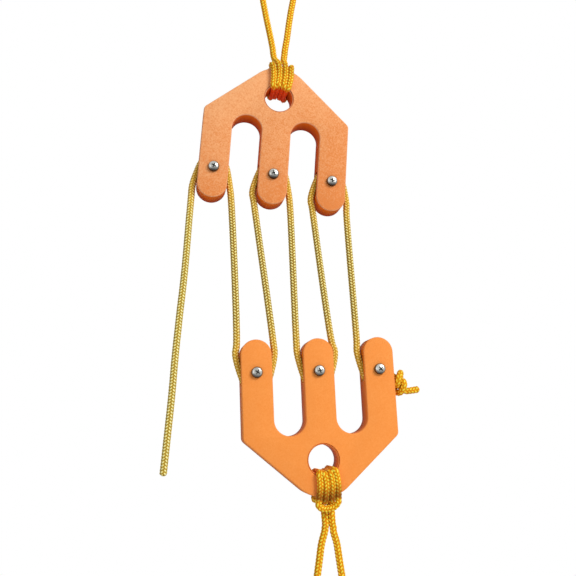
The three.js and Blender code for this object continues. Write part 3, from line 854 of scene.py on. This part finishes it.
# %% Plate with its slants
SLANT = radians(41.2)
BLOCK_HALF = PITCH + LEG_HALF
TIP = -14.1 * MM
SHOULDER = EYE_ABOVE_AXLE + (APEX_RADIUS - BLOCK_HALF * sin(SLANT)) / cos(SLANT)
PEAK = EYE_ABOVE_AXLE + APEX_RADIUS / cos(SLANT)
block_master = add_box((-BLOCK_HALF, -HALF_THICK, TIP), (BLOCK_HALF, HALF_THICK, PEAK + 5 * MM))
for side in (-1, 1):
    edit(block_master)
    slope = (side * sin(SLANT), 0, cos(SLANT))
    bpy.ops.mesh.bisect(plane_co=(0, 0, PEAK), plane_no=slope, clear_outer=True, use_fill=True)
print(f"plate: shoulders {SHOULDER / MM:.2f} mm and peak {PEAK / MM:.2f} mm over the axles")

# %% Gaps between the legs
SLOT_RADIUS = PITCH / 2 - LEG_HALF
SLOT_TOP = 27 * MM
SHOULDER_RADIUS = 2.5 * MM
# The full radius would leave a flat of no width between two rounded corners
ALMOST = 0.998
for side in (-1, 1):
    x = side * PITCH / 2
    low = (x - SLOT_RADIUS, -2 * THICKNESS, TIP - THICKNESS)
    cutter = add_box(low, (x + SLOT_RADIUS, 2 * THICKNESS, SLOT_TOP))
    round_edges(cutter, through_at(SLOT_TOP), ALMOST * SLOT_RADIUS, 24)
    combine(block_master, cutter)
tips = round_edges(block_master, through_at(TIP), ALMOST * LEG_HALF, 20)
shoulder_offset = SHOULDER_RADIUS * tan((pi / 2 - SLANT) / 2)
shoulders = round_edges(block_master, through_at(SHOULDER), shoulder_offset, 8)
peaks = round_edges(block_master, through_at(PEAK), APEX_RADIUS * tan(SLANT), 32)
print("rounded", tips, "tip corners,", shoulders, "shoulders and", peaks, "peak")

# %% [markdown]
# The outline's edges get their soft moulded radius now, while each flat side is still one face with
# no holes in it, because a bevel runs astray along the extra edges that join a hole to the outline.
# The eye can't be bevelled later either, so its cutter is shaped instead: a round bar that flares at
# both mouths, in small steps, cuts the hole and its rounded rim in one go.

# %% Soft edges and the eye
SOFT = 0.6 * MM
edit(block_master)
bpy.ops.mesh.dissolve_limited(angle_limit=radians(0.5))
count = round_edges(
    block_master, lambda a, b: near(abs(a.y), HALF_THICK) and near(a.y, b.y), SOFT, 3, merge=False,
)


def flared(radius, z, sides):
    """A round bar along Y that widens at both faces of the plate by the soft radius."""
    bar = add_round(radius, SOFT - HALF_THICK, HALF_THICK - SOFT, z=z, sides=sides)
    for side in (-1, 1):
        edit(bar, "FACE", lambda f: f.normal.y * side > 0.9)
        reach, wide = HALF_THICK - SOFT, radius
        for step in (1, 2, 3, 4):
            angle = radians(min(step * 30, 90))
            new_reach = HALF_THICK - SOFT + SOFT * sin(angle) + (MM if step == 4 else 0)
            new_wide = radius + SOFT * (1 - cos(angle))
            out = (0, side * (new_reach - reach), 0)
            bpy.ops.mesh.extrude_region_move(TRANSFORM_OT_translate={"value": out})
            growth = (new_wide / wide, 1, new_wide / wide)
            bpy.ops.transform.resize(value=growth, center_override=(0, side * new_reach, z))
            reach, wide = new_reach, new_wide
    return bar


combine(block_master, flared(EYE_RADIUS, EYE_ABOVE_AXLE, 96))
print("softened", count, "edges; with the eye:", len(block_master.data.polygons), "faces")

# %% [markdown]
# ## Sheave slots
# Each leg has a narrow slot from side to side, domed over the cord and rounded at its lips, where the
# cord leaves. It also has a hole for the axle screw, with a six-sided pocket for the nut at the back.

# %% Slots, axle holes and nut pockets
SLOT_HALF = 2.3 * MM
FLOOR = -6.4 * MM
DOME = TURN_RADIUS + (CORD_HALF + 0.7) * MM
AXLE_HOLE = 1.7 * MM
LIP = 1.4 * MM
# The channel reaches this far into the dome, well over the distance at which corners are merged
OVERLAP = 0.1 * MM
NUT_CORNER = 5.5 / 2 / cos(pi / 6) * MM
POCKET_FLOOR = HALF_THICK - 1.2 * MM
for leg in LEGS:
    x = leg * PITCH
    dome_cutter = add_round(DOME, -SLOT_HALF, SLOT_HALF, x=x, sides=96)
    edit(dome_cutter)
    bpy.ops.mesh.bisect(plane_co=(0, 0, 0), plane_no=(0, 0, 1), clear_inner=True, use_fill=True)
    channel = add_box((x - 8 * MM, -SLOT_HALF, FLOOR), (x + 8 * MM, SLOT_HALF, OVERLAP))
    axle_hole = add_round(AXLE_HOLE, -THICKNESS, THICKNESS, x=x, sides=48)
    pocket = add_round(NUT_CORNER + 0.25 * MM, POCKET_FLOOR, THICKNESS, x=x, sides=6)
    combine(block_master, dome_cutter, channel, axle_hole, pocket)


def at_a_lip(a, b):
    on_floor = near(a.z, FLOOR) and near(b.z, FLOOR) and near(a.x, b.x) and abs(a.y - b.y) > SLOT_HALF
    return on_floor and near(abs(a.x - PITCH * round(a.x / PITCH)), LEG_HALF)


print("lips rounded:", round_edges(block_master, at_a_lip, LIP, 6))
shade(block_master, 32, "block")

# %% [markdown]
# The finish needs to know where the walls and the soft edges are. Each face stores two numbers: how
# far it turns away from the plate's flat sides, and how near it is to halfway, as rounded edges are.

# %% Walls and edges
turned_away = [1 - abs(f.normal.y) for f in block_master.data.polygons]
store(block_master, "wall", turned_away)
store(block_master, "edge", [1 - abs(2 * v - 1) for v in turned_away])
walls, edges = sum(v > 0.9 for v in turned_away), sum(0.1 < v < 0.9 for v in turned_away)
print("walls:", walls, "faces, soft edges:", edges)

# %% [markdown]
# ## Copies
# A piece that repeats is modelled once, about its own axle. Each copy is turned and moved to its leg,
# and then that placing is applied, so that the finished object sits at the origin, as the nodes of
# the solid model do.

# %% Placing copies
def placed(master, name, block, leg=0, roll=0.0):
    only(master)
    bpy.ops.object.duplicate()
    copy = bpy.context.object
    copy.name = copy.data.name = name
    copy.matrix_world = (
        Matrix.Translation(block["eye"])
        @ Matrix.Rotation(block["lean"], 4, "Y")
        @ Matrix.Translation((leg * PITCH, 0, -EYE_ABOVE_AXLE))
        @ Matrix.Rotation(roll, 4, "Y")
    )
    bpy.ops.object.transform_apply(location=True, rotation=True, scale=True)
    return copy


blocks = {}
for block in BLOCKS:
    label = block["name"]
    blocks[label] = placed(block_master, f"{label}_block", block)
    stand_for(blocks[label], [f"{label}_block_body"], f"{label}_block")
bpy.data.objects.remove(block_master)
print("blocks placed:", list(blocks))

# %% [markdown]
# ## Plastic finish
# The blocks are orange plastic with a fine dull grain. The upper one is paler and more mottled, most
# of all towards its top left, and the lower one is smoother and a stronger orange. The same grain
# shifts the colour and feeds the bump, so light and colour agree. The walls are painted a deeper
# orange than the flat sides, most of all towards the back, as painted shade, and the soft edges are
# painted paler, as a painted highlight.

# %% Plastic materials
def grained(tree, grains, patches, patchiness):
    sockets = {"Grains per metre": grains, "Patches per metre": patches, "Patchiness": patchiness}
    return add_node(tree, "Group", {"node_tree": grain}, sockets).outputs


def plastic_finish(name, pale, deep, walls, edge_highlight, mottle, roughness, strength, paling=None):
    material, tree, shader = new_material(name)
    surface = grained(tree, 1700.0, 160.0, 0.25)
    place = coordinates(tree, "Object")
    spots = maths(tree, "MULTIPLY_ADD", surface["Grain"], mottle, 0.5 - mottle / 2)
    broad_shift = maths(tree, "MULTIPLY_ADD", surface["Patches"], 0.5, -0.25)
    shift = maths(tree, "ADD", spots, broad_shift)
    # The upper block is made paler towards its top left
    if paling:
        towards, offset = paling
        paled = add_node(tree, "VectorMath", {"operation": "DOT_PRODUCT"}, {0: place, 1: towards})
        shift = maths(tree, "ADD", shift, maths(tree, "ADD", paled.outputs["Value"], offset))
    shift = maths(tree, "MINIMUM", maths(tree, "MAXIMUM", shift, 0.0), 1.0)
    face = mixed_colour(tree, shift, colour(*deep), colour(*pale))
    # Painted shade: the walls take darker colours than the faces, darkest towards the back
    to_back = between(tree, parts_of(tree, place)[1], -HALF_THICK, HALF_THICK)
    wall = mixed_colour(tree, to_back, colour(*walls[0]), colour(*walls[1]))
    body = mixed_colour(tree, maths(tree, "POWER", stored(tree, "wall"), 1.5), face, wall)
    # Painted highlight: the soft edges are painted paler
    at_edge = maths(tree, "MULTIPLY", stored(tree, "edge"), edge_highlight)
    set_sockets(tree, shader, {
        "Base Color": mixed_colour(tree, at_edge, body, colour(255, 222, 188)),
        "Roughness": maths(tree, "MULTIPLY_ADD", surface["Grain"], 0.2, roughness - 0.1),
        "Normal": bumped(tree, surface["Height"], strength, 0.0002),
        "Specular IOR Level": 0.03,
    })
    blocks[name].data.materials.append(material)
    print("plastic finish:", material.name)


plastic_finish(
    "upper", pale=(250, 181, 125), deep=(232, 139, 75), walls=((246, 120, 28), (168, 42, 0)),
    edge_highlight=0.4, mottle=2.6, roughness=0.62, strength=0.35, paling=((-5, 0, 12), 0.93),
)
plastic_finish(
    "lower", pale=(255, 161, 82), deep=(249, 147, 66), walls=((255, 142, 44), (160, 52, 0)),
    edge_highlight=0.1, mottle=2.2, roughness=0.5, strength=0.15,
)

# %% [markdown]
# ## Axle screws
# Each sheave turns on a small pan-head screw. The head starts as a short cylinder whose front rim is
# bevelled round, and its back face is inset and extruded to make the shank. Two tapered blades are
# cut out of the head for the cross recess.

# %% Screw
HEAD_RADIUS = 2.42 * MM
HEAD_FRONT = -HALF_THICK - 2 * MM
SHANK_RADIUS = 1.45 * MM
SHANK_TIP = HALF_THICK + 1.25 * MM
screw_master = add_round(HEAD_RADIUS, HEAD_FRONT, -HALF_THICK)
edit(screw_master, "FACE", lambda f: f.normal.y > 0.9)
bpy.ops.mesh.inset(thickness=HEAD_RADIUS - SHANK_RADIUS)
bpy.ops.mesh.extrude_region_move(TRANSFORM_OT_translate={"value": (0, SHANK_TIP + HALF_THICK, 0)})
for rim, radius, segments in ((SHANK_TIP, 0.3 * MM, 2), (HEAD_FRONT, 1.3 * MM, 10)):
    round_edges(screw_master, lambda a, b: near(a.y, rim) and near(b.y, rim), radius, segments)
# The flat middle of the head is raised a little, so that the whole head is slightly domed
edit(screw_master, "FACE", lambda f: f.normal.y < -0.98 and f.calc_area() > 2e-6)
bpy.ops.mesh.inset(thickness=0.7 * MM)
bpy.ops.transform.translate(value=(0, -0.12 * MM, 0))
for across, up in ((1.5 * MM, 0.38 * MM), (0.38 * MM, 1.5 * MM)):
    blade = add_box((-across, HEAD_FRONT - MM, -up), (across, HEAD_FRONT + 1.2 * MM, up))
    edit(blade, "FACE", lambda f: f.normal.y > 0.9)
    bpy.ops.transform.resize(value=(0.4, 1, 0.4), center_override=(0, HEAD_FRONT, 0))
    combine(screw_master, blade)
shade(screw_master, 35, "screw")

# %% [markdown]
# A screw's recess and the side of its head, back to where it meets the plastic, are painted dark,
# as painted shade. The mesh stores its share on each face.

# %% Painted shade on the screw
RECESS = 1.7 * MM
painted_screw_shade = []
for f in screw_master.data.polygons:
    depth = f.center.y - HEAD_FRONT
    in_recess = ramp(depth - 0.02 * MM, 0.88 * MM) * (hypot(f.center.x, f.center.z) < RECESS)
    painted_screw_shade.append(max(ramp(depth - 0.25 * MM, 0.75 * MM), 0.6 * in_recess))
store(screw_master, "painted_screw_shade", painted_screw_shade)
print("darkened faces:", sum(v > 0.5 for v in painted_screw_shade))

# %% [markdown]
# ## Nuts
# A thin six-sided nut sits in its pocket on the back of each leg. Its corners are turned off at both
# ends, as on a lathe, by a Boolean intersection with a bevelled round bar.

# %% Nut
NUT_END = POCKET_FLOOR + 1.8 * MM
nut_master = add_round(NUT_CORNER, POCKET_FLOOR, NUT_END, sides=6)
turned = add_round(3.15 * MM, POCKET_FLOOR, NUT_END)
round_edges(turned, on_one_face, 0.34 * MM, 2)
combine(nut_master, turned, operation="INTERSECT")
combine(nut_master, add_round(SHANK_RADIUS + 0.04 * MM, 0, 2 * NUT_END, sides=48))


def at_the_hole(a, b):
    return on_one_face(a, b) and near(a.y, NUT_END) and hypot(a.x, a.z) < 1.6 * MM


round_edges(nut_master, at_the_hole, 0.2 * MM, 1)
shade(nut_master, 25, "nut")

# %% [markdown]
# ## Sheaves
# Each sheave is a small ball bearing whose outer ring has a round groove for the cord. The ring is a
# cylinder, and a torus a little thicker than the cord cuts its groove. Two more torus cuts make the
# tracks that the balls run in. A thin wire ring holds the balls apart.

# %% Sheave ring, inner race and balls
BALL_PITCH = 3.1 * MM
BALL_RADIUS = 0.6 * MM
TRACK_RADIUS = 0.72 * MM
BALLS = 7
RING_HALF = 2 * MM


def add_torus(major, minor, around=96, across=32):
    deselect_all()
    bpy.ops.mesh.primitive_torus_add(
        major_radius=major, minor_radius=minor, major_segments=around, minor_segments=across,
        rotation=ALONG_Y,
    )
    return added()


def without_slivers(piece, name):
    """Cuts leave slivers where two rings of corners all but meet, so corners that close are merged."""
    edit(piece)
    bpy.ops.mesh.remove_doubles(threshold=0.002 * MM)
    shade(piece, 35, name)
    return piece


def add_ring(name, radius, sides, soft, *cutters):
    ring = add_round(radius, -RING_HALF, RING_HALF, sides=sides)
    round_edges(ring, on_one_face, soft, 2)
    combine(ring, *cutters)
    return without_slivers(ring, name)


sheave_master = add_ring(
    "sheave", 6 * MM, 96, 0.12 * MM, add_torus(6.21 * MM, 1.71 * MM),
    add_round(3.6 * MM, -THICKNESS, THICKNESS, sides=96), add_torus(BALL_PITCH, TRACK_RADIUS),
)
race_master = add_ring(
    "inner race", 2.6 * MM, 64, 0.1 * MM, add_torus(BALL_PITCH, TRACK_RADIUS),
    add_round(SHANK_RADIUS + 0.03 * MM, -THICKNESS, THICKNESS),
)
balls_master = add_torus(BALL_PITCH, 0.16 * MM, 64, 10)
for i in range(BALLS):
    angle = 2 * pi * (i + 0.5) / BALLS
    centre = (BALL_PITCH * cos(angle), 0, BALL_PITCH * sin(angle))
    deselect_all()
    bpy.ops.mesh.primitive_uv_sphere_add(
        segments=20, ring_count=12, radius=BALL_RADIUS, location=centre,
    )
    combine(balls_master, added(), operation="UNION")
without_slivers(balls_master, "balls and wire")

# %% [markdown]
# ## Metal finish
# The screws and nuts are bright plated steel: nearly smooth, with a faint unevenness that breaks up
# their reflections. The bearings are ground steel, a little darker and duller. The grain's broad
# patches stand for wear and finger dust.

# %% Metal materials and copies
def metal_finish(name, bright, dull, roughness, strength):
    material, tree, shader = new_material(name)
    surface = grained(tree, 2600.0, 420.0, 0.6)
    clean = mixed_colour(tree, surface["Patches"], colour(*dull), colour(*bright))
    # Painted shade: the recess, the side of the head and its lower side are darkened
    darkening = maths(tree, "MAXIMUM", stored(tree, "painted_screw_shade"), stored(tree, "painted_shade"))
    darkening = maths(tree, "MULTIPLY", darkening, 0.9)
    set_sockets(tree, shader, {
        "Base Color": mixed_colour(tree, darkening, clean, colour(38, 33, 30)),
        "Roughness": maths(tree, "MULTIPLY_ADD", surface["Patches"], 0.16, roughness - 0.08),
        "Normal": bumped(tree, surface["Height"], strength, 0.00006),
        "Metallic": 1.0,
    })
    return material


def shade_underside(screw):
    """Darkens the lower side of a head, as a painted dark reflection, whichever way the screw was
    turned.
    """
    corners = [v.co for v in screw.data.vertices]
    heights = [p.z for p in corners if p.y < -HALF_THICK]
    middle = (max(heights) + min(heights)) / 2
    shade_share = [ramp(middle - 0.1 * HEAD_RADIUS - p.z, 0.8 * HEAD_RADIUS) for p in corners]
    store(screw, "painted_shade", [d * (p.y < -HALF_THICK) for d, p in zip(shade_share, corners)], "POINT")


plated_steel = metal_finish(
    "plated_steel", (222, 223, 218), (124, 124, 118), roughness=0.2, strength=0.12,
)
ground_steel = metal_finish(
    "ground_steel", (168, 170, 175), (124, 126, 132), roughness=0.3, strength=0.2,
)
masters = {
    "screw": (screw_master, plated_steel, "screw_steel"),
    "nut": (nut_master, plated_steel, "screw_steel"),
    "sheave": (sheave_master, ground_steel, "bearing_steel"),
    "inner_race": (race_master, ground_steel, "bearing_steel"),
    "ball_cage": (balls_master, ground_steel, "bearing_steel"),
}
# How far each screw is turned, in degrees, and the name of its leg's place, from left to right
ROLLS = {"upper": (20, 62, 8), "lower": (35, 74, 50)}
PLACES = ("left", "middle", "right")
for kind, (master, finish, slot) in masters.items():
    master.data.materials.append(finish)
    for block, leg in [(block, leg) for block in BLOCKS for leg in LEGS]:
        label, number = block["name"], 2 + leg * block["order"]
        roll = radians(ROLLS[label][number - 1]) if kind == "screw" else 0.0
        piece = placed(master, f"{label}_{kind}_{number}_detail", block, leg, roll)
        if kind == "screw":
            shade_underside(piece)
        turning = kind in ("sheave", "ball_cage")
        body = f"{label}_sheave_{PLACES[number - 1]}" if turning else f"{label}_block"
        stand_for(piece, [f"{label}_{kind}_{number}"], body)
    bpy.data.objects.remove(master)
    print(kind, "placed on six legs")

# %% [markdown]
# ## Floor, lamps and background
# The tackle hangs over a plain pale floor. A large soft lamp stands above, in front and to the right,
# so the plates' faces are bright and the walls under their arches are in shade. A weaker one fills
# from the left. The background is white only to the camera and to reflections: its light on the
# object is less, so colours stay as they are written.

# %% Floor
deselect_all()
bpy.ops.mesh.primitive_plane_add(size=1.3, location=(0, 0, -0.42))
floor = added()
floor.name = "floor"
floor_material, floor_tree, floor_shader = new_material("pale_floor")
set_sockets(floor_tree, floor_shader, {"Base Color": (0.86, 0.86, 0.86, 1), "Roughness": 0.9})
plain_white = add_node(floor_tree, "Emission", {}, {"Color": (1, 1, 1, 1)})
seen = add_node(floor_tree, "LightPath", {}, {}).outputs["Is Camera Ray"]
shown = add_node(floor_tree, "MixShader", {}, {
    0: maths(floor_tree, "MULTIPLY", seen, 0.9), 1: floor_shader.outputs[0], 2: plain_white.outputs[0],
})
set_sockets(floor_tree, floor_tree.nodes["Material Output"], {"Surface": shown.outputs[0]})
floor.data.materials.append(floor_material)
floor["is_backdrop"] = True

# %% Lamps
def soft_lamp(name, place, size, watts):
    data = bpy.data.lights.new(name, "AREA")
    data.size = size
    data.energy = watts
    lamp = linked(name, data)
    lamp.location = place
    lamp.rotation_euler = (MIDDLE - Vector(place)).to_track_quat("-Z", "Y").to_euler()
    print(name, watts, "W")


MIDDLE = Vector((0.005, 0, -0.145))
soft_lamp("key_lamp", (0.6, -0.85, 0.4), 0.5, 9.9)
soft_lamp("fill_lamp", (-0.8, -0.8, -0.05), 0.8, 1.6)

# %% Background
world = bpy.data.worlds.new("studio")
bpy.context.scene.world = world
world.use_nodes = True
sky = world.node_tree
ray = add_node(sky, "LightPath", {}, {}).outputs
shown = maths(sky, "MAXIMUM", ray["Is Camera Ray"], ray["Is Glossy Ray"])
shown = maths(sky, "MAXIMUM", shown, ray["Is Transmission Ray"])
ambient = 0.3
strength = maths(sky, "MULTIPLY_ADD", shown, 1 - ambient, ambient)
set_sockets(sky, sky.nodes["Background"], {"Color": (1, 1, 1, 1), "Strength": strength})
bpy.context.scene.view_settings.view_transform = "Standard"
print("background set")

# %% Overall size
low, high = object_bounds()
print("size:", [round((b - a) * 1000, 1) for a, b in zip(low, high)], "mm")
